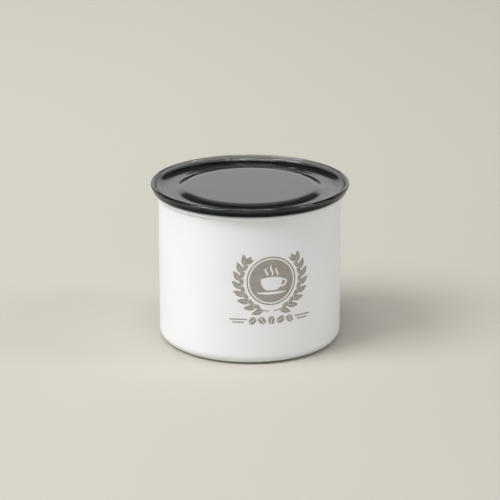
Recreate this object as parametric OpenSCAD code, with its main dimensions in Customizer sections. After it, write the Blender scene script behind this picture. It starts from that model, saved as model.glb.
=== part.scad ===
// Coffee canister with a see-through lid and an air-valve plunger inside.
// Millimetres, +Z up, origin at the centre of the base, front towards -Y.

/* [Canister] */
// Outer diameter of the can's straight wall
body_d = 115; // [100:1:135]
// Height of the can to the top of its rolled rim
body_h = 96.2; // [93:0.2:120]
// Thickness of the steel sheet
wall_t = 0.8; // [0.5:0.1:1.2]
// Outer radius where the wall turns into the base
corner_r = 6; // [4:0.5:9]
// Diameter of the roll at the top rim
curl_d = 2.6; // [2.4:0.1:3.4]
// How far the middle of the base is raised off the table
base_rise = 1; // [0.6:0.1:2]
// Width of the flat ring that the can stands on
foot_w = 4.6; // [3:0.2:8]

/* [Outer lid] */
// How far the lid's lip stands out past the can's rolled rim
lid_overhang = 3.1; // [2.6:0.1:4]
// Height of the lid from its lower edge to the top of the lip
lid_h = 4.7; // [4.5:0.1:7]
// Wall thickness of the lid's moulding
lid_t = 1.9; // [1.5:0.1:2.4]
// Width of the raised lip
lip_w = 2.7; // [2.2:0.1:3.5]
// How far the lid's skirt draws in towards its lower edge
skirt_taper = 1.3; // [0.8:0.1:1.6]
// Depth of the ring channel below the top of the lip
channel_depth = 4.5; // [4:0.1:5]
// Width of the channel's flat floor
channel_w = 3; // [2:0.1:5]
// Width of the curve that rises from the channel to the lip
bowl_w = 9.1; // [7:0.1:11]
// Height of the middle panel above the channel
panel_rise = 1.6; // [1:0.1:2.2]
// Width of the panel's rounded shoulder
shoulder_w = 9.5; // [7:0.1:12]
// Depth of the plug wall that centres the lid in the can
plug_depth = 4.6; // [3:0.2:8]
// Gap between the plug wall and the can
plug_gap = 0.9; // [0.5:0.1:1.5]

/* [Lid gasket] */
// Thickness of the gasket under the lid
gasket_t = 1.1; // [0.9:0.1:1.6]

/* [Plunger] */
// Height of the plunger's underside above the table, as stored
plunger_z = 38; // [37:0.5:38.5]
// Thickness of the plunger's base plate
base_t = 3; // [2.8:0.1:3.4]
// Gap between the plunger's plates and the can, which the wiper seal fills
plate_gap = 4.7; // [4.2:0.1:5.5]
// Height of the wiper seal's clamped ring
seal_h = 4.4; // [4:0.2:5]
// Height of the deck's outer wall
deck_h = 13; // [12.5:0.5:15]
// Thickness of the deck's walls and plates
deck_t = 2.4; // [2:0.1:2.8]
// Height of the deck's rim above its top plate
rim_rise = 3.4; // [3:0.2:4]
// Inner radius of the well around the valve
well_r = 15.4; // [15.2:0.2:17]
// Gap between the wiper seal's lips and the can
wiper_gap = 0.3; // [0.2:0.05:0.5]
// Thickness of each wiper lip
wiper_t = 0.9; // [0.7:0.1:1.2]

/* [Screws] */
// Number of screws that hold the plunger together
screw_count = 6; // [4:1:8]
// Distance from the screws' axes to the edge of the plates
screw_inset = 12; // [10:0.5:16]
// Diameter of a screw's thread
screw_d = 3; // [2.5:0.5:3.5]
// Length of a screw under its head
screw_len = 9; // [8:0.5:10]
// Diameter of a screw's head
screw_head_d = 5.6; // [5.2:0.2:6]

/* [Valve] */
// Diameter of the valve's stem
stem_d = 5; // [4:0.5:5.5]
// Running gap between the stem and its guide
stem_gap = 0.06; // [0.03:0.01:0.09]
// Diameter of the valve's disc
disc_d = 24; // [23:0.5:24.5]
// Thickness of the valve's disc
disc_t = 1.6; // [1.4:0.1:1.8]
// Thickness of the soft ring on the disc
seat_seal_t = 1.2; // [1:0.1:1.4]
// How far the valve opens
valve_stroke = 2; // [1:0.1:2]
// Number of air ports around the stem
port_count = 8; // [6:1:8]
// Diameter of an air port
port_d = 2.6; // [2:0.1:3]
// Radius of the circle that the ports lie on
port_ring_r = 8.5; // [8.2:0.1:8.7]
// Height of the stem's guide above the floor of the well
guide_h = 3.4; // [3:0.1:3.6]
// Wall of the stem's guide
guide_t = 1.9; // [1.5:0.1:2.1]
// Diameter of the cup that the spring pushes up
cup_d = 14.4; // [14:0.2:15]
// Thickness of the spring cup's plate
cup_t = 1.2; // [1:0.1:1.4]
// Thickness of the clip that holds the cup on the stem
clip_t = 0.6; // [0.4:0.1:0.8]
// Depth of the clip's groove in the stem
groove_t = 0.6; // [0.4:0.1:0.8]
// Wire diameter of the spring
wire_d = 0.8; // [0.6:0.1:0.9]
// Number of turns of the spring
spring_turns = 3.5; // [3:0.5:4]

/* [Filter screen] */
// Diameter of the screen under the valve
screen_d = 27; // [26:0.5:28]
// Thickness of the screen
screen_t = 0.5; // [0.4:0.1:0.7]
// Width across one hole of the screen
mesh_hole = 1.6; // [1.2:0.1:1.8]
// Spacing of the screen's holes
mesh_pitch = 2.6; // [2.4:0.1:3]

/* [Handle] */
// Distance between the centres of the handle's arms
handle_w = 52; // [48:1:56]
// Distance from the hinge to the middle of the grip
handle_reach = 29; // [26:0.5:29.5]
// Thickness of the handle's rod
rod_d = 7; // [6:0.2:7.2]
// Radius of the handle's two corners, at the rod's middle
bend_r = 11; // [8:0.5:14]
// Radius of the cam while the handle lies flat
cam_r = 3.7; // [3.4:0.1:4]
// Width of the cam
cam_w = 9; // [7:0.5:11]
// Gap between the cam and the top of the stem
cam_gap = 0.15; // [0.1:0.05:0.3]
// Gap between the handle's bosses and the deck's top plate
handle_gap = 0.45; // [0.3:0.05:0.8]
// Diameter of each hinge pin
pin_d = 3; // [2.5:0.1:3.4]
// Running gap between a pin and its ear
pin_gap = 0.05; // [0.02:0.01:0.09]
// Thickness of each ear on the deck
ear_t = 4; // [3:0.2:5]
// Wall of each ear around its pin
ear_wall = 2.8; // [2:0.1:2.9]
// Gap between the handle and an ear
ear_gap = 0.4; // [0.3:0.1:0.6]

/* [Hidden] */
$fn = 96;

// a small gap between pieces that are pressed or screwed together
snug = 0.02;
// overlap of cutters past the faces that they cut
eps = 0.1;

// Canister
body_r = body_d / 2;
inner_r = body_r - wall_t;
curl_r = curl_d / 2;
curl_x = inner_r + curl_r - 0.1;
curl_z = body_h - curl_r;
foot_r = body_r - corner_r;
rise_r = foot_r - foot_w;

// Outer lid and its gasket
lid_r = curl_x + curl_r + lid_overhang;
lid_z = body_h + gasket_t - 0.2;
lip_top = lid_z + lid_h;
lip_in_r = lid_r - lip_w;
skirt_r = lid_r - skirt_taper;
channel_z = lip_top - channel_depth;
channel_out_r = lip_in_r - bowl_w;
channel_in_r = channel_out_r - channel_w;
panel_z = channel_z + panel_rise;
panel_r = channel_in_r - shoulder_w;
plug_r = inner_r - plug_gap;
roof_z = body_h + gasket_t;
gasket_in_r = plug_r + 0.3;
gasket_out_r = curl_x + curl_r + 0.3;

// Plunger
plate_r = inner_r - plate_gap;
seal_z = plunger_z + base_t;
deck_z = seal_z + seal_h;
deck_top = deck_z + deck_h - rim_rise;
seal_in_r = plate_r - 5;
chamber_r = disc_d / 2 + 1.6;
screw_ring_r = plate_r - screw_inset;

// Handle on the deck, folded flat towards -Y
rod_r = rod_d / 2;
arm_x = handle_w / 2;
boss_r = rod_r + 0.6;
boss_in_x = arm_x - rod_r - 0.7;
boss_out_x = arm_x + rod_r + 1;
ear_x = boss_out_x + ear_gap;
ear_r = pin_d / 2 + ear_wall;
hinge_z = deck_top + boss_r + handle_gap;
lift_per_turn = valve_stroke / 90;

// Valve, set downwards from the handle's cam
stem_r = stem_d / 2;
stem_top = hinge_z - cam_r - cam_gap;
clip_z = stem_top - 0.7 - clip_t;
cup_z = clip_z - cup_t;
well_floor = cup_z - valve_stroke - 0.4 - guide_h;
well_z = well_floor - deck_t;
disc_top = well_z - seat_seal_t;
disc_z = disc_top - disc_t;
guide_r = stem_r + guide_t;
groove_r = stem_r - groove_t;
spring_r = guide_r + wire_d / 2 + 0.5;
spring_h = cup_z - well_floor;

// Points of an arc about (cx, cz) from angle a0 to angle a1
function arc(cx, cz, r, a0, a1, n = 12) =
    [for (i = [0:n]) let (a = a0 + (a1 - a0) * i / n) [cx + r * cos(a), cz + r * sin(a)]];

// Points of an S-shaped slope from p to q that starts and ends level; with skew over 1 it starts slowly
function ogee(p, q, n = 14, skew = 1) =
    [for (i = [0:n]) let (t = i / n)
        [p.x + (q.x - p.x) * t, p.y + (q.y - p.y) * (1 - cos(180 * pow(t, skew))) / 2]];

// Points of a quarter ellipse that starts level at p and ends upright at q
function bowl(p, q, n = 14) =
    [for (i = [0:n]) let (a = 90 * i / n) [p.x + (q.x - p.x) * sin(a), q.y - (q.y - p.y) * cos(a)]];

// Drawn steel can: raised base, rounded corner, straight wall and outward roll
module canister_body() {
    step_w = 1.2;
    outside = concat(
        [[0, base_rise], [rise_r - step_w, base_rise]],
        ogee([rise_r - step_w, base_rise], [rise_r, 0], 6),
        arc(foot_r, corner_r, corner_r, -90, 0),
        [[body_r, curl_z]]);
    inside = concat(
        [[inner_r, curl_z]],
        arc(foot_r, corner_r, corner_r - wall_t, 0, -90),
        ogee([rise_r, wall_t], [rise_r - step_w, base_rise + wall_t], 6),
        [[0, base_rise + wall_t]]);
    color("white") {
        rotate_extrude($fn = 180) polygon(concat(outside, inside));
        rotate_extrude($fn = 180) curl_section();
    }
}

// Section of the rolled rim: the sheet turns out and down, and ends against the wall
module curl_section() {
    translate([curl_x, curl_z]) difference() {
        circle(r = curl_r, $fn = 32);
        circle(r = curl_r - wall_t + 0.15, $fn = 24);
        translate([-0.55, -curl_r - eps]) square([0.5, curl_r]);
    }
}

// See-through lid: raised middle panel, ring channel, lip, skirt and plug wall
module outer_lid() {
    tip_r = lip_w / 2;
    skew = 1.35;
    plug_in_r = plug_r - lid_t;
    rise = bowl([channel_out_r, channel_z], [lip_in_r, lip_top - tip_r]);
    top = concat(
        [[0, panel_z]],
        ogee([panel_r, panel_z], [channel_in_r, channel_z], 18, skew),
        rise,
        arc(lip_in_r + tip_r, lip_top - tip_r, tip_r, 165, 0, 11),
        [[skirt_r, lid_z]]);
    under_bowl = [for (p = rise) if (p.x < plug_in_r) [p.x, p.y - lid_t]];
    under_panel = [for (p = ogee([panel_r, panel_z], [channel_in_r, channel_z], 18, skew)) [p.x, p.y - lid_t]];
    under = concat(
        [[0, panel_z - lid_t]],
        under_panel,
        under_bowl,
        [[plug_in_r, under_bowl[len(under_bowl) - 1].y], [plug_in_r, body_h - plug_depth]],
        [[plug_r - 0.4, body_h - plug_depth], [plug_r, roof_z]],
        [[gasket_out_r + 0.1, roof_z], [gasket_out_r + 0.1, lid_z]]);
    color([0.12, 0.13, 0.13, 0.55]) rotate_extrude($fn = 180)
        polygon(concat(top, [for (i = [len(under) - 1:-1:0]) under[i]]));
}

// Black ring under the lid that rests on the can's rolled rim
module lid_gasket() {
    color([0.03, 0.03, 0.03]) difference() {
        translate([0, 0, body_h]) cylinder(r = gasket_out_r, h = gasket_t, $fn = 180);
        translate([0, 0, body_h - eps]) cylinder(r = gasket_in_r, h = gasket_t + 2 * eps, $fn = 180);
    }
}

// Places its children at each screw of the plunger
module at_screws() {
    for (i = [0:screw_count - 1])
        rotate([0, 0, (i + 0.5) * 360 / screw_count]) translate([screw_ring_r, 0, 0]) children();
}

// Upper moulding of the plunger: rim wall, top plate, valve well, ports, guide and ears
module plunger_deck() {
    color([0.07, 0.07, 0.075]) {
        difference() {
            union() {
                rotate_extrude() deck_section();
                at_screws() translate([0, 0, seal_z]) cylinder(r = screw_d / 2 + 2.2, h = deck_top - deck_t / 2 - seal_z);
                for (s = [-1, 1]) ear(s);
            }
            at_screws() translate([0, 0, seal_z - eps])
                cylinder(d = screw_d + 2 * snug, h = screw_len - base_t / 2 + 1, $fn = 32);
            translate([0, 0, well_z - eps])
                cylinder(r = stem_r + stem_gap, h = deck_t + guide_h + 2 * eps, $fn = 48);
            for (i = [0:port_count - 1])
                rotate([0, 0, i * 360 / port_count]) translate([port_ring_r, 0, well_z - eps])
                    cylinder(d = port_d, h = deck_t + 2 * eps, $fn = 24);
        }
    }
}

// Half section of the deck's turned shape
module deck_section() {
    well_out_r = well_r + deck_t;
    polygon(concat(
        [[0, well_z], [well_out_r, well_z], [well_out_r, deck_top - deck_t]],
        [[plate_r - deck_t, deck_top - deck_t], [plate_r - deck_t, deck_z + deck_t]],
        [[seal_in_r, deck_z + deck_t], [seal_in_r, deck_z], [plate_r, deck_z]],
        arc(plate_r - deck_t / 2, deck_z + deck_h - deck_t / 2, deck_t / 2, 0, 180, 8),
        arc(plate_r - deck_t - 1, deck_top + 1, 1, 0, -90, 5),
        arc(well_r + 0.8, deck_top - 0.8, 0.8, 90, 180, 5),
        [[well_r, well_floor], [guide_r, well_floor], [guide_r, well_floor + guide_h], [0, well_floor + guide_h]]));
}

// One hinge ear on the deck, on the side s
module ear(s) {
    ear_h = hinge_z - deck_top;
    difference() {
        union() {
            translate([s * (ear_x + ear_t / 2), 0, hinge_z]) rotate([0, 90, 0])
                cylinder(r = ear_r, h = ear_t, center = true, $fn = 48);
            translate([s * (ear_x + ear_t / 2), 0, deck_top + ear_h / 2 - 0.3])
                cube([ear_t, 2 * ear_r, ear_h + 0.6], center = true);
        }
        translate([s * (ear_x + ear_t / 2), 0, hinge_z]) rotate([0, 90, 0])
            cylinder(r = pin_d / 2 + pin_gap, h = ear_t + 2 * eps, center = true, $fn = 48);
    }
}

// Lower plate of the plunger, with the valve's chamber and pockets for the screws
module plunger_base() {
    ring_w = 1.8;
    ring_r = screen_d / 2 + ring_w;
    head_h = 2;
    color([0.09, 0.09, 0.095]) difference() {
        union() {
            translate([0, 0, plunger_z]) cylinder(r = plate_r - 0.6, h = base_t);
            translate([0, 0, plunger_z]) cylinder(r = chamber_r + deck_t, h = well_z - plunger_z);
        }
        translate([0, 0, plunger_z + screen_t + 1]) cylinder(r = chamber_r, h = well_z);
        translate([0, 0, plunger_z - eps]) cylinder(r = chamber_r - 1.4, h = well_z);
        translate([0, 0, plunger_z - eps]) cylinder(r = ring_r + snug, h = screen_t + 1 + eps);
        at_screws() translate([0, 0, plunger_z - eps]) {
            cylinder(d = screw_head_d + 0.4, h = head_h + eps, $fn = 36);
            cylinder(d = screw_d + 0.4, h = base_t + 2 * eps, $fn = 36);
        }
    }
}

// Soft ring clamped between the plates, with one lip up and one lip down against the can
module wiper_seal() {
    lip_r = inner_r - wiper_gap;
    mid_z = seal_z + seal_h / 2;
    reach_z = 2.6;
    root = wiper_t * 1.2;
    color([0.16, 0.16, 0.17]) rotate_extrude() polygon([
        [seal_in_r, seal_z], [plate_r - 0.6, seal_z], [plate_r, seal_z + 0.6],
        [plate_r, mid_z - root], [lip_r - wiper_t, mid_z - root - reach_z], [lip_r, mid_z - root - reach_z],
        [lip_r, mid_z - root - reach_z + 1], [plate_r + 1, mid_z],
        [lip_r, mid_z + root + reach_z - 1], [lip_r, mid_z + root + reach_z],
        [lip_r - wiper_t, mid_z + root + reach_z], [plate_r, mid_z + root],
        [plate_r, deck_z], [seal_in_r, deck_z]]);
}

// Pan-head screws driven up through the base plate into the deck
module plunger_screws() {
    head_z = plunger_z + 2;
    color("silver") at_screws() difference() {
        union() {
            translate([0, 0, head_z - 1.7]) cylinder(d = screw_head_d, h = 1.7, $fn = 36);
            translate([0, 0, head_z - eps]) cylinder(d = screw_d, h = screw_len + eps, $fn = 32);
        }
        for (a = [0, 90]) rotate([0, 0, a])
            translate([0, 0, head_z - 1.7]) cube([screw_head_d * 0.6, 0.8, 1.6], center = true);
    }
}

// Perforated steel disc that keeps the beans and grounds out of the valve
module filter_screen() {
    count = floor(screen_d / 2 / mesh_pitch);
    clear_r = chamber_r - 1.4 - mesh_hole;
    color("silver") translate([0, 0, plunger_z + 1]) linear_extrude(screen_t) difference() {
        circle(d = screen_d);
        for (i = [-count:count], j = [-count:count])
            let (x = (i + j / 2) * mesh_pitch, y = j * mesh_pitch * sin(60))
                if (norm([x, y]) < clear_r) translate([x, y]) circle(d = mesh_hole, $fn = 6);
    }
}

// Ring pressed into the base plate under the screen
module screen_ring() {
    ring_r = screen_d / 2 + 1.8;
    color([0.12, 0.12, 0.125]) translate([0, 0, plunger_z]) difference() {
        cylinder(r = ring_r, h = 1);
        translate([0, 0, -eps]) cylinder(r = ring_r - 3.4, h = 1 + 2 * eps);
    }
}

// Stem and disc of the valve, moulded in one piece, with a groove for the clip
module valve_stem() {
    tip_chamfer = 0.4;
    color([0.75, 0.75, 0.73]) {
        translate([0, 0, disc_z]) cylinder(d = disc_d, h = disc_t);
        rotate_extrude($fn = 48) polygon([
            [0, disc_z + disc_t / 2], [stem_r, disc_z + disc_t / 2], [stem_r, clip_z], [groove_r, clip_z],
            [groove_r, clip_z + clip_t], [stem_r, clip_z + clip_t], [stem_r, stem_top - tip_chamfer],
            [stem_r - tip_chamfer, stem_top], [0, stem_top]]);
    }
}

// Soft ring on the disc that closes the ports
module valve_gasket() {
    color([0.55, 0.12, 0.1]) translate([0, 0, disc_top]) difference() {
        cylinder(d = disc_d - 0.6, h = seat_seal_t);
        translate([0, 0, -eps]) cylinder(r = stem_r + 0.1, h = seat_seal_t + 2 * eps, $fn = 48);
    }
}

// Cup on the stem that the spring pushes up against the clip
module spring_cup() {
    rim_h = 1.3;
    color([0.75, 0.75, 0.73]) translate([0, 0, cup_z]) difference() {
        translate([0, 0, -rim_h]) cylinder(d = cup_d, h = cup_t + rim_h, $fn = 64);
        translate([0, 0, -rim_h - eps]) cylinder(r = cup_d / 2 - 0.7, h = rim_h + eps, $fn = 64);
        translate([0, 0, -eps]) cylinder(r = stem_r + snug, h = cup_t + 2 * eps, $fn = 48);
    }
}

// Spring-steel clip that sits in the stem's groove, open on one side
module stem_clip() {
    clip_r = stem_r + 1.7;
    color("silver") translate([0, 0, clip_z]) difference() {
        cylinder(r = clip_r, h = clip_t - snug, $fn = 48);
        translate([0, 0, -eps]) cylinder(r = groove_r + snug, h = clip_t + 2 * eps, $fn = 48);
        translate([0, -groove_r * 0.8, -eps]) cube([clip_r + eps, groove_r * 1.6, clip_t + 2 * eps]);
    }
}

// Point on the spring's centre line after t turns
function coil(t) = [spring_r * cos(360 * t), spring_r * sin(360 * t),
    well_floor + wire_d / 2 + 0.1 + (spring_h - wire_d - 0.2) * t / spring_turns];

// Compression spring between the well's floor and the cup
module valve_spring() {
    steps = 24 * spring_turns;
    sides = 8;
    rings = [for (i = [0:steps]) let (t = i / 24, c = coil(t), a = 360 * t)
        for (k = [0:sides - 1]) let (b = 360 * k / sides, w = wire_d / 2)
            [c.x + w * cos(b) * cos(a), c.y + w * cos(b) * sin(a), c.z + w * sin(b)]];
    walls = [for (i = [0:steps - 1], k = [0:sides - 1])
        let (a = i * sides + k, b = i * sides + (k + 1) % sides)
            each [[a, a + sides, b + sides], [a, b + sides, b]]];
    start_face = [for (k = [0:sides - 1]) k];
    end_face = [for (k = [sides - 1:-1:0]) steps * sides + k];
    color("silver") polyhedron(points = rings, faces = concat(walls, [start_face, end_face]), convexity = 10);
}

// Outline of the cam: a round hub, and a lobe that pushes the stem down evenly as the handle rises
module cam_outline() {
    slope = lift_per_turn * 180 / PI;
    lobe = [for (a = [0:5:90]) let (h = cam_r + lift_per_turn * a, b = -90 - a)
        [h * cos(b) + slope * sin(b), h * sin(b) - slope * cos(b)]];
    circle(r = cam_r, $fn = 64);
    polygon(concat([[0, 0]], lobe));
}

// Folding bail handle with its bosses, cross shaft and cam
module handle() {
    side_y = handle_reach - bend_r;
    color([0.1, 0.1, 0.105]) translate([0, 0, hinge_z]) difference() {
        union() {
            translate([0, -handle_reach, 0]) rotate([0, 90, 0])
                cylinder(r = rod_r, h = handle_w - 2 * bend_r, center = true, $fn = 48);
            for (s = [-1, 1]) {
                translate([s * (arm_x - bend_r), -side_y, 0]) rotate([0, 0, s > 0 ? -90 : 180])
                    rotate_extrude(angle = 90, $fn = 96) translate([bend_r, 0]) circle(r = rod_r, $fn = 48);
                translate([s * arm_x, 0, 0]) rotate([90, 0, 0]) cylinder(r = rod_r, h = side_y, $fn = 48);
                translate([s * boss_in_x, 0, 0]) rotate([0, s * 90, 0])
                    cylinder(r = boss_r, h = boss_out_x - boss_in_x, $fn = 48);
            }
            rotate([0, 90, 0]) cylinder(r = rod_r - 0.4, h = handle_w - rod_d + 1, center = true, $fn = 48);
            translate([-cam_w / 2, 0, 0]) rotate([90, 0, 90]) linear_extrude(cam_w) cam_outline();
        }
        for (s = [-1, 1]) translate([s * (arm_x - rod_r + 1), 0, 0]) rotate([0, s * 90, 0])
            cylinder(d = pin_d + 2 * snug, h = boss_out_x - arm_x + rod_r, $fn = 48);
    }
}

// Steel pin from outside the ear into the handle's boss, on the side s
module handle_pin(s) {
    head_t = 1;
    inner_x = arm_x - rod_r + 1.4;
    outer_x = ear_x + ear_t + 0.1;
    color("silver") translate([0, 0, hinge_z]) rotate([0, s * 90, 0]) {
        translate([0, 0, inner_x]) cylinder(d = pin_d, h = outer_x - inner_x + head_t / 2, $fn = 48);
        translate([0, 0, outer_x]) cylinder(d = pin_d + 2, h = head_t, $fn = 48);
    }
}

module handle_pin_left() {
    handle_pin(-1);
}

module handle_pin_right() {
    handle_pin(1);
}

canister_body();
outer_lid();
lid_gasket();
plunger_deck();
plunger_base();
wiper_seal();
plunger_screws();
filter_screen();
screen_ring();
valve_stem();
valve_gasket();
spring_cup();
stem_clip();
valve_spring();
handle();
handle_pin_left();
handle_pin_right();
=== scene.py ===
import math

import bpy
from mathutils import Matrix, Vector
from mathutils.geometry import delaunay_2d_cdt


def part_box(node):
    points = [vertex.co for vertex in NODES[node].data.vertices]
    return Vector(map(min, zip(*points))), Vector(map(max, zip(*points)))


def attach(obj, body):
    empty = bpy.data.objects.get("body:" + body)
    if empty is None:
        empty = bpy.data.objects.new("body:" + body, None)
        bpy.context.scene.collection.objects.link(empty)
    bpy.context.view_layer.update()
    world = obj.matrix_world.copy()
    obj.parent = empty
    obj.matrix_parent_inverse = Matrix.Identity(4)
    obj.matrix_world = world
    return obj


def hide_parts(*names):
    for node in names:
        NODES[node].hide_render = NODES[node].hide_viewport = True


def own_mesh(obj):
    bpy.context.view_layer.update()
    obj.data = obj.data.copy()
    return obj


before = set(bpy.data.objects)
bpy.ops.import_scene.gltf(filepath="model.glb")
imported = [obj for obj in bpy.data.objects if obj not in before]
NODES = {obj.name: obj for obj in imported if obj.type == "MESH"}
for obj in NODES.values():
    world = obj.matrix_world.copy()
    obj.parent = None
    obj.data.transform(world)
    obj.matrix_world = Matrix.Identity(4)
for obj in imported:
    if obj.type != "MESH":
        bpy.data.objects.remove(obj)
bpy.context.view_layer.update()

MM = 0.001

# Camera, from the photograph's perspective
CAMERA_PLACE = (0.0001, -1.307, 0.4853)
CAMERA_PITCH = math.radians(18.18)
CAMERA_LENS = 156.17
SENSOR_WIDTH = 36.0

# Sizes of the can that the print follows
CAN_RADIUS = 57.5 * MM
CURL_BOTTOM = 93.4 * MM

# The lid's rim: the radius that its outer wall begins at, and the heights up to which its colour holds painted
# shade and its reflection is painted dimmer
RIM_WALL = 60.4 * MM
RIM_PAINTED_SHADE_TOP = 99.45 * MM
RIM_DIMMED_REFLECTION_TOP = 100.8 * MM

# The print on the can: where its middle is and how thick the ink lies
PRINT_TURN = math.radians(13.4)
PRINT_MIDDLE = 48.4 * MM
INK_OUT = 0.05 * MM
INK_IN = -0.10 * MM

# The valve's spring: its wire, its turns, and how many of them lie closed at each end
SPRING_WIRE = 0.8 * MM
SPRING_TURNS = 3.5
CLOSED_TURNS = 0.75

# Places within the print, and the spacing of its points, in millimetres
MEDALLION = (0.0, 6.2)
BEAN_ROW = -19.2
INK_STEP = 1.5


def linear(value):
    """One sRGB channel from 0 to 255 as scene-linear light."""
    c = value / 255.0
    if c <= 0.04045:
        return c / 12.92
    return ((c + 0.055) / 1.055) ** 2.4


def srgb(red, green, blue):
    return (linear(red), linear(green), linear(blue), 1.0)


class Tree:
    """A small wrapper that adds nodes to one material and links them."""

    def __init__(self, name):
        self.material = bpy.data.materials.new(name)
        self.material.use_nodes = True
        self.nodes = self.material.node_tree.nodes
        self.links = self.material.node_tree.links
        self.shader = self.nodes["Principled BSDF"]
        self.output = self.nodes["Material Output"]
        self.place = None

    def node(self, kind, **settings):
        made = self.nodes.new(kind)
        for key, value in settings.items():
            setattr(made, key, value)
        return made

    def link(self, source, target):
        self.links.new(source, target)

    def feed(self, socket, value):
        """Links value if it is a socket, or writes it as a constant."""
        if isinstance(value, bpy.types.NodeSocket):
            self.link(value, socket)
        else:
            socket.default_value = value

    def coordinates(self):
        if self.place is None:
            self.place = self.node("ShaderNodeTexCoord").outputs["Object"]
        return self.place

    def math(self, operation, a, b=0.0):
        made = self.node("ShaderNodeMath", operation=operation)
        self.feed(made.inputs[0], a)
        self.feed(made.inputs[1], b)
        return made.outputs[0]

    def noise(self, scale, detail=3.0, rough=0.5, vector=None):
        made = self.node("ShaderNodeTexNoise")
        self.link(vector or self.coordinates(), made.inputs["Vector"])
        made.inputs["Scale"].default_value = scale
        made.inputs["Detail"].default_value = detail
        made.inputs["Roughness"].default_value = rough
        return made.outputs["Fac"]

    def span(self, value, low, high, start=0.3, end=0.7):
        """Maps value from start..end to low..high, held at both ends."""
        made = self.node("ShaderNodeMapRange")
        self.feed(made.inputs["Value"], value)
        made.inputs["From Min"].default_value = start
        made.inputs["From Max"].default_value = end
        made.inputs["To Min"].default_value = low
        made.inputs["To Max"].default_value = high
        return made.outputs["Result"]

    def blend(self, factor, a, b):
        made = self.node("ShaderNodeMix", data_type="RGBA")
        self.feed(made.inputs[0], factor)
        self.feed(made.inputs[6], a)
        self.feed(made.inputs[7], b)
        return made.outputs[2]

    def ring_coordinates(self, around, radial, height):
        """Object coordinates unrolled about the upright axis: angle, radius and height, each scaled."""
        parts = self.node("ShaderNodeSeparateXYZ")
        self.link(self.coordinates(), parts.inputs[0])
        x, y, z = parts.outputs
        angle = self.math("ARCTAN2", y, x)
        radius = self.math("SQRT", self.math("ADD", self.math("MULTIPLY", x, x), self.math("MULTIPLY", y, y)))
        made = self.node("ShaderNodeCombineXYZ")
        self.link(self.math("MULTIPLY", angle, around), made.inputs[0])
        self.link(self.math("MULTIPLY", radius, radial), made.inputs[1])
        self.link(self.math("MULTIPLY", z, height), made.inputs[2])
        return made.outputs[0]

    def bump(self, height, strength, distance):
        made = self.node("ShaderNodeBump")
        made.inputs["Strength"].default_value = strength
        made.inputs["Distance"].default_value = distance
        self.link(height, made.inputs["Height"])
        self.link(made.outputs["Normal"], self.shader.inputs["Normal"])
        return made

    def set(self, **sockets):
        for key, value in sockets.items():
            self.feed(self.shader.inputs[key.replace("_", " ")], value)


def give(material, *names):
    """Puts a material in every slot of the named CAD nodes."""
    for name in names:
        slots = NODES[name].data.materials
        if len(slots) == 0:
            slots.append(material)
        for index in range(len(slots)):
            slots[index] = material


def coated_steel():
    """White powder coat on the outside of the can, and drawn steel with ring marks on the inside."""
    t = Tree("coated_steel")
    geometry = t.node("ShaderNodeNewGeometry")
    parts = t.node("ShaderNodeSeparateXYZ")
    t.link(t.coordinates(), parts.inputs[0])
    flat = t.node("ShaderNodeCombineXYZ")
    t.link(parts.outputs[0], flat.inputs[0])
    t.link(parts.outputs[1], flat.inputs[1])
    away = t.node("ShaderNodeVectorMath", operation="NORMALIZE")
    t.link(flat.outputs[0], away.inputs[0])
    facing = t.node("ShaderNodeVectorMath", operation="DOT_PRODUCT")
    t.link(geometry.outputs["True Normal"], facing.inputs[0])
    t.link(away.outputs[0], facing.inputs[1])
    normal = t.node("ShaderNodeSeparateXYZ")
    t.link(geometry.outputs["True Normal"], normal.inputs[0])
    inward = t.math("LESS_THAN", facing.outputs["Value"], -0.3)
    upward = t.math("GREATER_THAN", normal.outputs[2], 0.5)
    below_curl = t.math("LESS_THAN", parts.outputs[2], CURL_BOTTOM)
    inside = t.math("MULTIPLY", t.math("MAXIMUM", inward, upward), below_curl)

    cloud = t.noise(38.0, 2.0)
    white = t.blend(t.span(cloud, 0.0, 1.0), (0.852, 0.862, 0.887, 1.0), (0.874, 0.884, 0.909, 1.0))
    rings = t.noise(1.0, 4.0, 0.6, t.ring_coordinates(2.0, 1500.0, 1500.0))
    steel = t.blend(t.span(rings, 0.0, 1.0), (0.50, 0.50, 0.495, 1.0), (0.66, 0.66, 0.65, 1.0))
    grain = t.noise(2600.0, 3.0)
    coat_rough = t.span(grain, 0.30, 0.38)
    steel_rough = t.span(rings, 0.30, 0.44)
    rough = t.math("ADD", t.math("MULTIPLY", inside, steel_rough),
                   t.math("MULTIPLY", t.math("SUBTRACT", 1.0, inside), coat_rough))
    t.set(Base_Color=t.blend(inside, white, steel), Metallic=inside, Roughness=rough)
    t.bump(t.blend(inside, grain, rings), 0.10, 0.00004)
    return t.material


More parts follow.
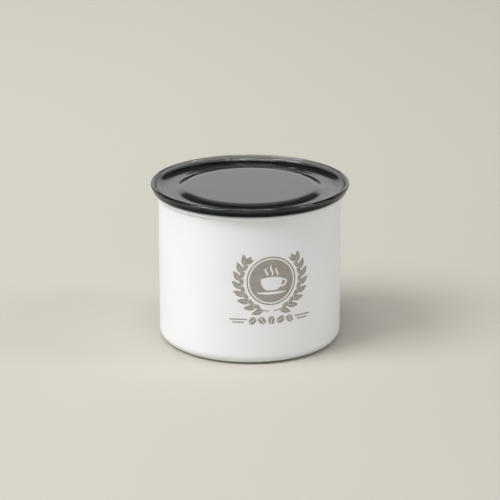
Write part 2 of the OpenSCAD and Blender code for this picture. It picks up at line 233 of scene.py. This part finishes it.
def smoke_plastic():
    """Clear moulded plastic with a grey smoke tint; low down, the rim's outer wall has painted shade in its colour
    and a painted dimmer, bluish reflection.
    """
    t = Tree("smoke_plastic")
    haze = t.noise(60.0, 3.0)
    parts = t.node("ShaderNodeSeparateXYZ")
    t.link(t.coordinates(), parts.inputs[0])
    x, y, z = parts.outputs
    radius = t.math("SQRT", t.math("ADD", t.math("MULTIPLY", x, x), t.math("MULTIPLY", y, y)))
    wall = t.span(radius, 0.0, 1.0, RIM_WALL - 0.2 * MM, RIM_WALL + 0.2 * MM)
    # Painted shade: low on the rim's outer wall the colour turns dark grey, which darkens the light let through,
    # and a grey-blue specular tint paints its reflection dimmer.
    dark = t.math("MULTIPLY", wall, t.span(z, 1.0, 0.0, RIM_PAINTED_SHADE_TOP - 0.75 * MM, RIM_PAINTED_SHADE_TOP + 0.75 * MM))
    dimmed_reflection = t.math("MULTIPLY", wall, t.span(z, 1.0, 0.0, RIM_DIMMED_REFLECTION_TOP - 0.6 * MM, RIM_DIMMED_REFLECTION_TOP + 0.6 * MM))
    clear = (1.0, 1.0, 1.0, 1.0)
    t.set(Base_Color=t.blend(dark, clear, (0.20, 0.21, 0.23, 1.0)), Transmission_Weight=1.0, IOR=1.52)
    t.set(Specular_Tint=t.blend(dimmed_reflection, clear, (0.20, 0.23, 0.30, 1.0)))
    t.set(Roughness=t.span(haze, 0.008, 0.028))
    smoke = t.node("ShaderNodeVolumeAbsorption")
    smoke.inputs["Color"].default_value = (0.455, 0.485, 0.50, 1.0)
    smoke.inputs["Density"].default_value = 850.0
    t.link(smoke.outputs[0], t.output.inputs["Volume"])
    return t.material


def moulded(name, dark, light, rough, grain_scale, strength, depth=0.00005):
    """A moulded plastic or rubber: fine surface grain, slight colour and gloss variation."""
    t = Tree(name)
    cloud = t.noise(70.0, 3.0)
    grain = t.noise(grain_scale, 2.0)
    t.set(Base_Color=t.blend(t.span(cloud, 0.0, 1.0), dark, light))
    t.set(Roughness=t.span(t.math("ADD", t.math("MULTIPLY", cloud, 0.5), t.math("MULTIPLY", grain, 0.5)),
                           rough[0], rough[1]))
    t.set(IOR=1.48)
    t.bump(grain, strength, depth)
    return t.material


def steel(name, turned):
    """Bright steel: ring marks on turned pieces, or fine scratches along the piece."""
    t = Tree(name)
    if turned:
        marks = t.noise(1.0, 4.0, 0.6, t.ring_coordinates(1.5, 4200.0, 4200.0))
    else:
        marks = t.noise(2400.0, 4.0, 0.6)
    t.set(Base_Color=t.blend(t.span(marks, 0.0, 1.0), (0.50, 0.50, 0.51, 1.0), (0.68, 0.68, 0.69, 1.0)))
    t.set(Metallic=1.0, Roughness=t.span(marks, 0.20, 0.34))
    t.bump(marks, 0.08, 0.00002)
    return t.material


def ink():
    """Taupe screen print, with the slight unevenness of a pad-printed film."""
    t = Tree("print_ink")
    cloud = t.noise(260.0, 4.0, 0.6)
    grain = t.noise(4200.0, 2.0)
    t.set(Base_Color=t.blend(t.span(cloud, 0.0, 1.0), srgb(153, 146, 137), srgb(167, 161, 153)))
    t.set(Roughness=t.span(grain, 0.42, 0.55))
    t.bump(grain, 0.06, 0.00002)
    return t.material


give(coated_steel(), "canister_body")
give(smoke_plastic(), "outer_lid")
give(moulded("black_rubber", (0.010, 0.010, 0.010, 1), (0.020, 0.020, 0.020, 1), (0.42, 0.6), 3200.0, 0.12),
     "lid_gasket")
give(moulded("black_plastic", (0.014, 0.014, 0.015, 1), (0.026, 0.026, 0.027, 1), (0.34, 0.52), 5200.0, 0.22),
     "plunger_deck", "plunger_base", "screen_ring")
give(moulded("handle_plastic", (0.018, 0.018, 0.019, 1), (0.030, 0.030, 0.031, 1), (0.24, 0.36), 4200.0, 0.10),
     "handle")
give(moulded("seal_silicone", (0.040, 0.040, 0.042, 1), (0.062, 0.062, 0.064, 1), (0.36, 0.5), 2600.0, 0.06),
     "wiper_seal")
give(moulded("valve_plastic", (0.52, 0.52, 0.49, 1), (0.60, 0.60, 0.58, 1), (0.30, 0.42), 3600.0, 0.06),
     "valve_stem", "spring_cup")
give(moulded("valve_rubber", (0.26, 0.045, 0.035, 1), (0.34, 0.06, 0.05, 1), (0.4, 0.55), 3000.0, 0.08),
     "valve_gasket")
give(steel("turned_steel", True), "filter_screen")
wire_steel = steel("wire_steel", False)
give(wire_steel, "plunger_screws", "stem_clip", "valve_spring", "handle_pin_left", "handle_pin_right")


def coil_spring():
    """The valve's spring with closed end turns, built at one fixed length; the real spring shortens as the handle
    rises and opens the valve.
    """
    low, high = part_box("valve_spring")
    wire = SPRING_WIRE / 2
    radius = (high[0] - low[0]) / 2 - wire
    tall = high[2] - low[2] - 2 * wire
    closed = CLOSED_TURNS * SPRING_WIRE
    sides = 12
    steps = int(32 * SPRING_TURNS)
    verts = []
    for i in range(steps + 1):
        turn = SPRING_TURNS * i / steps
        left = SPRING_TURNS - turn
        if turn < CLOSED_TURNS:
            rise = turn * SPRING_WIRE
        elif left < CLOSED_TURNS:
            rise = tall - left * SPRING_WIRE
        else:
            rise = closed + (tall - 2 * closed) * (turn - CLOSED_TURNS) / (SPRING_TURNS - 2 * CLOSED_TURNS)
        around = 2 * math.pi * turn
        for k in range(sides):
            b = 2 * math.pi * k / sides
            r = radius + wire * math.cos(b)
            verts.append((r * math.cos(around), r * math.sin(around), low[2] + wire + rise + wire * math.sin(b)))
    faces = [tuple(range(sides)), tuple(steps * sides + k for k in reversed(range(sides)))]
    for i in range(steps):
        for k in range(sides):
            a = i * sides + k
            b = i * sides + (k + 1) % sides
            faces.append((a, a + sides, b + sides, b))
    mesh = bpy.data.meshes.new("coil_spring")
    mesh.from_pydata(verts, [], faces)
    mesh.polygons.foreach_set("use_smooth", [False, False] + [True] * (len(faces) - 2))
    mesh.update()
    mesh.materials.append(wire_steel)
    piece = bpy.data.objects.new("coil_spring", mesh)
    bpy.context.scene.collection.objects.link(piece)
    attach(piece, "plunger")
    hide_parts("valve_spring")
    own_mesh(piece)


coil_spring()


# The print is drawn flat, in millimetres from its own middle, and then laid round the can.
def on_can(u, v, lift):
    turn = PRINT_TURN + u * MM / CAN_RADIUS
    radius = CAN_RADIUS + lift
    return (radius * math.sin(turn), -radius * math.cos(turn), PRINT_MIDDLE + v * MM)


def anticlockwise(loop):
    area = 0.0
    for (x0, y0), (x1, y1) in zip(loop, loop[1:] + loop[:1]):
        area += x0 * y1 - x1 * y0
    return list(loop) if area > 0 else list(reversed(loop))


class Print:
    """Collects shapes of ink and lays them round the can as thin closed layers."""

    def __init__(self):
        self.verts = []
        self.faces = []

    def shape(self, outline, holes=()):
        """Fills an outline, apart from its holes, with triangles small enough to follow the wall."""
        points = []
        loops = []
        for loop in (outline, *holes):
            loops.append(list(range(len(points), len(points) + len(loop))))
            points.extend(anticlockwise(loop))
        low = [min(p[k] for p in outline) for k in (0, 1)]
        high = [max(p[k] for p in outline) for k in (0, 1)]
        for i in range(1, int((high[0] - low[0]) / INK_STEP) + 1):
            for j in range(1, int((high[1] - low[1]) / INK_STEP) + 1):
                points.append((low[0] + i * INK_STEP, low[1] + j * INK_STEP))
        corners, _, triangles, _, _, sources = delaunay_2d_cdt([Vector(p) for p in points], [], loops, 1, 1e-6)
        inked = [tuple(t) for t, source in zip(triangles, sources) if list(source) == [0]]
        used = sorted({k for t in inked for k in t})
        outer = {k: len(self.verts) + n for n, k in enumerate(used)}
        inner = {k: outer[k] + len(used) for k in used}
        for lift in (INK_OUT, INK_IN):
            self.verts.extend(on_can(corners[k][0], corners[k][1], lift) for k in used)
        sides = set()
        for t in inked:
            self.faces.append(tuple(outer[k] for k in t))
            self.faces.append(tuple(inner[k] for k in reversed(t)))
            sides.update(zip(t, t[1:] + t[:1]))
        for a, b in sorted(sides):
            if (b, a) not in sides:
                self.faces.append((outer[a], inner[a], inner[b], outer[b]))

    def build(self, name):
        mesh = bpy.data.meshes.new(name)
        mesh.from_pydata(self.verts, [], self.faces)
        mesh.update()
        piece = bpy.data.objects.new(name, mesh)
        bpy.context.scene.collection.objects.link(piece)
        return piece


def curve(p0, p1, p2, p3, count=16):
    """Points of a cubic curve."""
    points = []
    for i in range(count + 1):
        t = i / count
        a = (1 - t) ** 3
        b = 3 * t * (1 - t) ** 2
        c = 3 * t * t * (1 - t)
        d = t ** 3
        points.append((a * p0[0] + b * p1[0] + c * p2[0] + d * p3[0],
                       a * p0[1] + b * p1[1] + c * p2[1] + d * p3[1]))
    return points


def round_loop(middle, radius, count=90):
    return [(middle[0] + radius * math.cos(2 * math.pi * i / count),
             middle[1] + radius * math.sin(2 * math.pi * i / count)) for i in range(count)]


def stroke(points, width, taper=0.0):
    """The outline of a line along points, which may narrow towards both ends."""
    left = []
    right = []
    count = len(points)
    for i, (x, y) in enumerate(points):
        ahead = points[min(i + 1, count - 1)]
        behind = points[max(i - 1, 0)]
        dx = ahead[0] - behind[0]
        dy = ahead[1] - behind[1]
        size = math.hypot(dx, dy) or 1.0
        ease = max(0.0, math.sin(math.pi * i / (count - 1))) ** 0.6
        half = max(width / 2 * ((1 - taper) + taper * ease), 0.06)
        left.append((x - dy / size * half, y + dx / size * half))
        right.append((x + dy / size * half, y - dx / size * half))
    return left + right[::-1]


def leaf(sheet, root, angle, length, width):
    """A leaf with a bare midrib: two half blades that share a pointed tip."""
    ca = math.cos(angle)
    sa = math.sin(angle)

    def place(along, side):
        return (root[0] + ca * along - sa * side, root[1] + sa * along + ca * side)

    for sign in (1, -1):
        inner = []
        outer = []
        for i in range(15):
            t = i / 14
            blade = width / 2 * max(0.0, math.sin(math.pi * t ** 0.8)) ** 0.9
            bare = 0.17 * (1 - t)
            inner.append(place(length * t, sign * bare))
            outer.append(place(length * t, sign * max(blade, bare + 0.03)))
        sheet.shape(inner + outer[::-1])


def bean(sheet, middle, angle, length, width):
    """A coffee bean: an oval split by an S-shaped gap."""
    ca = math.cos(angle)
    sa = math.sin(angle)

    def place(along, side):
        return (middle[0] + ca * along - sa * side, middle[1] + sa * along + ca * side)

    for sign in (1, -1):
        inner = []
        outer = []
        for i in range(21):
            t = i / 20
            along = length * (t - 0.5)
            inside = 0.10 * width * math.sin(2 * math.pi * t) + sign * 0.06 * width
            outside = sign * width / 2 * math.sqrt(max(0.0, 1 - (2 * t - 1) ** 2))
            if sign * (outside - inside) < 0.03:
                outside = inside + sign * 0.03
            inner.append(place(along, inside))
            outer.append(place(along, outside))
        sheet.shape(inner + outer[::-1])


def medallion(sheet):
    """A round field of ink inside a ring, with a steaming cup and its saucer left bare in it."""
    x, y = MEDALLION
    sheet.shape(round_loop(MEDALLION, 15.6), [round_loop(MEDALLION, 14.7)])
    sides = []
    for i in range(25):
        t = i / 24
        sides.append((6.8 * math.sqrt(max(0.0, 1 - (0.92 * t) ** 2.6)), y + 1.6 - 7.6 * t))
    bowl = [(x + half, z) for half, z in sides] + [(x - half, z) for half, z in reversed(sides)]
    ear = stroke(curve((x + 6.2, y + 0.4), (x + 10.6, y + 1.6), (x + 10.4, y - 4.6), (x + 4.4, y - 3.4), 24), 1.2)
    plate = [(x + 9.4 - 18.8 * i / 30, y - 7.0) for i in range(31)]
    plate += [(px, y - 7.0 - 1.7 * math.sqrt(max(0.001, 1 - ((px - x) / 9.4) ** 2))) for px, _ in plate[::-1]][1:-1]
    bare = [bowl, ear, plate]
    for shift, top in ((-3.3, 8.2), (0.0, 10.4), (3.3, 8.2)):
        low = (x + shift, y + 3.2)
        high = (x + shift, y + top)
        rise = top - 3.2
        bare.append(stroke(curve(low, (low[0] + 2.2, low[1] + rise * 0.34), (low[0] - 2.2, low[1] + rise * 0.66),
                                 high, 20), 1.15, 0.7))
    sheet.shape(round_loop(MEDALLION, 13.8), bare)


def branch(sheet, side):
    """A coffee branch that runs round one side of the medallion, with a leaf to each hand at every joint."""
    def at(degrees, radius=19.4):
        turn = math.radians(degrees)
        return (MEDALLION[0] + side * radius * math.cos(turn), MEDALLION[1] + radius * math.sin(turn))

    sheet.shape(stroke([at(-86 + 4 * i) for i in range(31)], 0.75, 0.2))
    for degrees in range(-74, 36, 15):
        along = math.atan2(*reversed([q - p for p, q in zip(at(degrees - 1), at(degrees + 1))]))
        leaf(sheet, at(degrees), along - side * 0.62, 7.6, 3.5)
        leaf(sheet, at(degrees + 5), along + side * 0.50, 5.4, 2.5)
    along = math.atan2(*reversed([q - p for p, q in zip(at(33), at(35))]))
    leaf(sheet, at(35), along, 6.2, 2.9)


def bean_row(sheet):
    """The row under the medallion: five beans between two pairs of bars."""
    for side in (-1, 1):
        for z, start, end in ((0.95, 15.2, 26.0), (-0.95, 17.0, 24.2)):
            bar = [(side * (start + (end - start) * i / 10), BEAN_ROW + z) for i in range(11)]
            sheet.shape(stroke(bar, 0.9))
    for k, tilt in enumerate((0.9, -0.7, math.pi / 2, 0.7, -0.9)):
        bean(sheet, ((k - 2) * 5.9, BEAN_ROW), tilt, 5.6, 4.0)


sheet = Print()
medallion(sheet)
for side in (-1, 1):
    branch(sheet, side)
bean_row(sheet)
badge = sheet.build("printed_badge")
badge.data.materials.append(ink())
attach(badge, "can")


# Floor, backdrop tone and light
def floor():
    half = 4.0
    mesh = bpy.data.meshes.new("floor")
    mesh.from_pydata([(-half, -half, 0), (half, -half, 0), (half, half, 0), (-half, half, 0)], [], [(0, 1, 2, 3)])
    piece = bpy.data.objects.new("floor", mesh)
    bpy.context.scene.collection.objects.link(piece)
    t = Tree("floor_paper")
    parts = t.node("ShaderNodeSeparateXYZ")
    t.link(t.coordinates(), parts.inputs[0])
    near = t.blend(t.noise(3.0, 3.0), (0.488, 0.468, 0.411, 1), (0.502, 0.483, 0.426, 1))
    paper = t.blend(t.span(parts.outputs[1], 0.0, 1.0, 0.05, 1.15), near, (0.640, 0.614, 0.542, 1))
    # Painted shade: the floor turns up to 8% darker towards the right, a painted falloff of the key light from the
    # left.
    t.set(Base_Color=t.blend(t.span(parts.outputs[0], 0.0, 0.08, -0.1, 0.35), paper, (0.0, 0.0, 0.0, 1)))
    t.set(Roughness=0.9)
    t.shader.inputs["Specular IOR Level"].default_value = 0.2
    mesh.materials.append(t.material)


floor()


def sky():
    """A dim studio with one pale band low around the horizon, which the glossy lid mirrors."""
    world = bpy.data.worlds.new("studio")
    bpy.context.scene.world = world
    world.use_nodes = True
    nodes = world.node_tree.nodes
    links = world.node_tree.links
    ground = nodes["Background"]
    place = nodes.new("ShaderNodeTexCoord")
    parts = nodes.new("ShaderNodeSeparateXYZ")
    links.new(place.outputs["Generated"], parts.inputs[0])
    rise = nodes.new("ShaderNodeMath")
    rise.operation = "ARCSINE"
    links.new(parts.outputs[2], rise.inputs[0])
    share = nodes.new("ShaderNodeMapRange")
    share.inputs["From Min"].default_value = 0.0
    share.inputs["From Max"].default_value = math.pi / 2
    links.new(rise.outputs[0], share.inputs["Value"])
    ramp = nodes.new("ShaderNodeValToRGB")
    links.new(share.outputs[0], ramp.inputs[0])
    steps = ((0, 0.45), (8, 0.60), (11, 1.02), (21, 1.02), (25, 0.14), (60, 0.08), (90, 0.12))
    marks = ramp.color_ramp.elements
    marks[0].position = steps[0][0] / 90
    marks[0].color = (steps[0][1], steps[0][1], steps[0][1], 1)
    marks[1].position = 1.0
    marks[1].color = (steps[-1][1], steps[-1][1], steps[-1][1], 1)
    for degrees, level in steps[1:-1]:
        mark = marks.new(degrees / 90)
        mark.color = (level, level, level, 1)
    links.new(ramp.outputs[0], ground.inputs["Color"])
    ground.inputs["Strength"].default_value = 1.0


sky()


def lamp(name, place, size, power, target=(0.0, 0.0, 0.05), height=None, tone=(1.0, 1.0, 1.0)):
    light = bpy.data.lights.new(name, "AREA")
    light.size = size
    light.energy = power
    light.color = tone
    if height is not None:
        light.shape = "RECTANGLE"
        light.size_y = height
    piece = bpy.data.objects.new(name, light)
    bpy.context.scene.collection.objects.link(piece)
    piece.location = place
    aim = Vector(target) - Vector(place)
    piece.rotation_euler = aim.to_track_quat("-Z", "Y").to_euler()
    return piece


lamp("key_left", (-1.77, -0.83, 2.33), 1.5, 70.0)
lamp("top_soft", (-0.15, -0.5, 3.0), 1.6, 46.0)
lamp("fill_right", (2.1, -0.35, 1.9), 0.7, 13.0)


def camera():
    data = bpy.data.cameras.new("camera")
    data.lens = CAMERA_LENS
    data.sensor_width = SENSOR_WIDTH
    data.clip_start = 0.01
    piece = bpy.data.objects.new("camera", data)
    bpy.context.scene.collection.objects.link(piece)
    piece.location = CAMERA_PLACE
    piece.rotation_euler = (math.pi / 2 - CAMERA_PITCH, 0.0, 0.0)
    bpy.context.scene.camera = piece


camera()
bpy.context.scene.view_settings.view_transform = "Standard"
